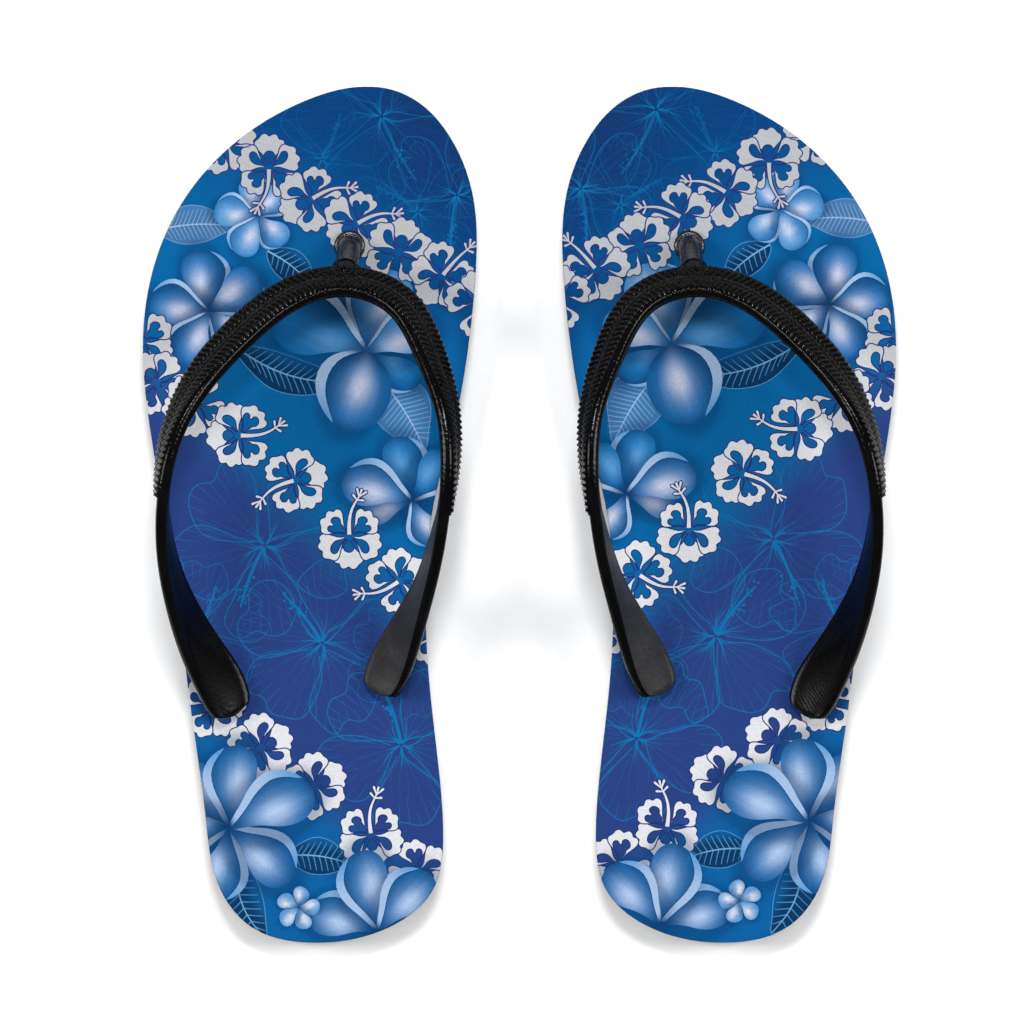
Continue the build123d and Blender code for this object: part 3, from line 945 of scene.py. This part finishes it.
def rubber_look(name, dark, light, rough, fine_scale, specular=0.3, pores=0.0):
    """Matt moulded rubber or foam with mottling and a fine skin."""
    look = Look(name)
    place = look.place()
    broad = look.noise(place, 0.05, 4.0)
    fine = look.noise(place, fine_scale, 3.0)
    share = look.math("ADD", look.ramp(broad, 0.35, 0.65, 0.1, 0.6), look.ramp(fine, 0.3, 0.7, -0.1, 0.4))
    look.link(look.blend(share, dark, light), look.shader.inputs["Base Color"])
    look.link(look.ramp(fine, 0.3, 0.7, rough, min(rough + 0.15, 1)), look.shader.inputs["Roughness"])
    look.shader.inputs["Specular IOR Level"].default_value = specular
    height = fine
    if pores:
        cell = look.ramp(look.cells(place, 1.1), 0.05, 0.4, 0.0, 1.0)
        height = look.math("ADD", look.math("MULTIPLY", cell, pores), fine)
    look.bump(height, 0.35, 0.0002)
    return look.material


def strap_look(name, tone, rough_low, rough_high, specular, painted_arm_shade=False, crest_wear_highlight_tone=None):
    """Black soft moulding: a little dust and unevenness in its sheen. The crest tone lightens rib crests,
    partly as wear and partly as a painted highlight; the arm option paints the lateral arm darker, as painted
    shade.
    """
    look = Look(name)
    place = look.place()
    broad = look.noise(place, 0.09, 4.0)
    fine = look.noise(place, 1.4, 3.0)
    share = look.math("MULTIPLY", look.ramp(broad, 0.4, 0.7, 0.0, 1.0), look.ramp(fine, 0.4, 0.65, 0.2, 1.0))
    dusty = tuple(value * 2.2 + 0.002 for value in tone)
    colour = look.blend(share, tone, dusty)
    sheen = look.ramp(fine, 0.3, 0.7, rough_low, rough_high)
    # rib crests and middle ridge turned grey: partly wear, partly a painted highlight
    if crest_wear_highlight_tone:
        crest = look.node("ShaderNodeAttribute", attribute_name="crest").outputs["Fac"]
        crest_wear_and_highlight = look.math("MULTIPLY", crest, look.ramp(fine, 0.35, 0.65, 0.1, 1.0))
        colour = look.blend(crest_wear_and_highlight, colour, crest_wear_highlight_tone)
    # painted shade: the lateral arm's face is painted almost black, while the medial arm keeps its lighter
    # grey as painted sheen
    if painted_arm_shade:
        arm = look.node("ShaderNodeAttribute", attribute_name="painted_arm_light").outputs["Fac"]
        colour = look.blend(arm, look.blend(0.05, (0.0, 0.0, 0.0), colour), colour)
        sheen = look.math("MULTIPLY", sheen, look.ramp(arm, 0, 1, 0.60, 1.0))
    look.link(colour, look.shader.inputs["Base Color"])
    look.link(sheen, look.shader.inputs["Roughness"])
    look.shader.inputs["Specular IOR Level"].default_value = specular
    grain = look.node("ShaderNodeTexWave", wave_type="BANDS", bands_direction="DIAGONAL")
    grain.inputs["Scale"].default_value = 0.35
    grain.inputs["Distortion"].default_value = 6.0
    grain.inputs["Detail"].default_value = 2.0
    look.link(place, grain.inputs["Vector"])
    height = look.math("ADD", fine, look.math("MULTIPLY", grain.outputs["Fac"], 0.5))
    look.bump(look.math("ADD", height, look.math("MULTIPLY", broad, 0.5)), 0.22, 0.00015)
    return look.material


print_look = fabric_look()
edge_look = rubber_look("sheet_edge", ink(30, 84, 150), ink(60, 118, 180), 0.75, 2.0)
outsole_look = rubber_look("outsole_rubber", (0.012, 0.012, 0.013), (0.03, 0.03, 0.031), 0.62, 0.9)
white_look = rubber_look("white_foam", (0.68, 0.68, 0.67), (0.80, 0.80, 0.79), 0.75, 1.3, 0.25, 0.6)
blue_look = rubber_look("blue_foam", (0.012, 0.10, 0.30), (0.03, 0.17, 0.42), 0.75, 1.3, 0.25, 0.6)
# ribbed outside: its crest grey is partly wear and partly painted highlight
outer_look = strap_look("strap_ribbed", (0.0008, 0.0008, 0.0010), 0.06, 0.14, 0.09,
                        crest_wear_highlight_tone=(0.030, 0.030, 0.032))
# smooth inside: its grey on the medial arm is partly a painted sheen, and the lateral arm is painted darker
# as painted shade
inner_look = strap_look("strap_inner", (0.020, 0.020, 0.021), 0.34, 0.50, 0.14, painted_arm_shade=True)
post_look = strap_look("toe_post", (0.005, 0.005, 0.0054), 0.17, 0.27, 0.5)

# ------------------------------------------------------------------ the pair
PRINT_SHIFT = {"left": (0.0, 0.0), "right": (0.3, 2.0)}
looks = {"outsole": outsole_look, "midsole": white_look, "footbed_foam": blue_look, "toe_post": post_look}
for side in ("left", "right"):
    for node, look in looks.items():
        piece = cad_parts[f"{side}_{node}"]
        for slot in piece.material_slots:
            slot.material = look
    sheet, area = printed_sheet(side, PRINT_SHIFT[side], print_look, edge_look)
    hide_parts(f"{side}_printed_sheet")
    moulding = strap(side, outer_look, inner_look)
    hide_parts(f"{side}_strap")

# ------------------------------------------------------------------ studio
FLOOR_SIZE, FLOOR_DROP = 60.0, 0.2 * MM
bpy.ops.mesh.primitive_plane_add(size=FLOOR_SIZE, location=(0, 0, -FLOOR_DROP))
floor = bpy.context.object
floor.name = "floor"
paper = rubber_look("pale_paper", (0.93, 0.93, 0.93), (0.96, 0.96, 0.96), 0.9, 0.3, 0.1)
floor.data.materials.append(paper)

world = bpy.data.worlds.new("studio")
bpy.context.scene.world = world
world.use_nodes = True
world.node_tree.nodes["Background"].inputs["Color"].default_value = (1.0, 1.0, 1.0, 1)
world.node_tree.nodes["Background"].inputs["Strength"].default_value = 0.29


def soft_light(name, place, width, height, power):
    """Rectangular light that looks at the middle of the pair."""
    data = bpy.data.lights.new(name, "AREA")
    data.shape = "RECTANGLE"
    data.size, data.size_y, data.energy = width, height, power
    lamp = bpy.data.objects.new(name, data)
    bpy.context.scene.collection.objects.link(lamp)
    lamp.location = place
    lamp.rotation_euler = (-Vector(place)).to_track_quat("-Z", "Y").to_euler()
    lamp.visible_camera = False


soft_light("left_window", (-1.9, 0.2, 2.0), width=0.6, height=1.4, power=42)
soft_light("right_window", (1.9, 0.2, 2.0), width=0.6, height=1.4, power=42)
soft_light("toe_side_top", (0.0, 0.95, 2.6), width=0.45, height=0.45, power=36)

FIELD = 311.0                # width of the picture at the footbed, in millimetres
VIEW_X, VIEW_Y = -2.28, 0.76 # middle of the picture, in millimetres
LENS, SENSOR = 800.0, 36.0   # a long lens, so that both sandals are seen from straight above
camera_data = bpy.data.cameras.new("above")
camera_data.lens, camera_data.sensor_width = LENS, SENSOR
camera_data.clip_end = 200.0
camera = bpy.data.objects.new("above", camera_data)
bpy.context.scene.collection.objects.link(camera)
footbed_middle = (HEEL_TOP + TOE_TOP) / 2
camera.location = (VIEW_X * MM, VIEW_Y * MM, (FIELD * LENS / SENSOR + footbed_middle) * MM)
bpy.context.scene.camera = camera
bpy.context.scene.view_settings.view_transform = "Standard"
bpy.context.scene.view_settings.look = "None"
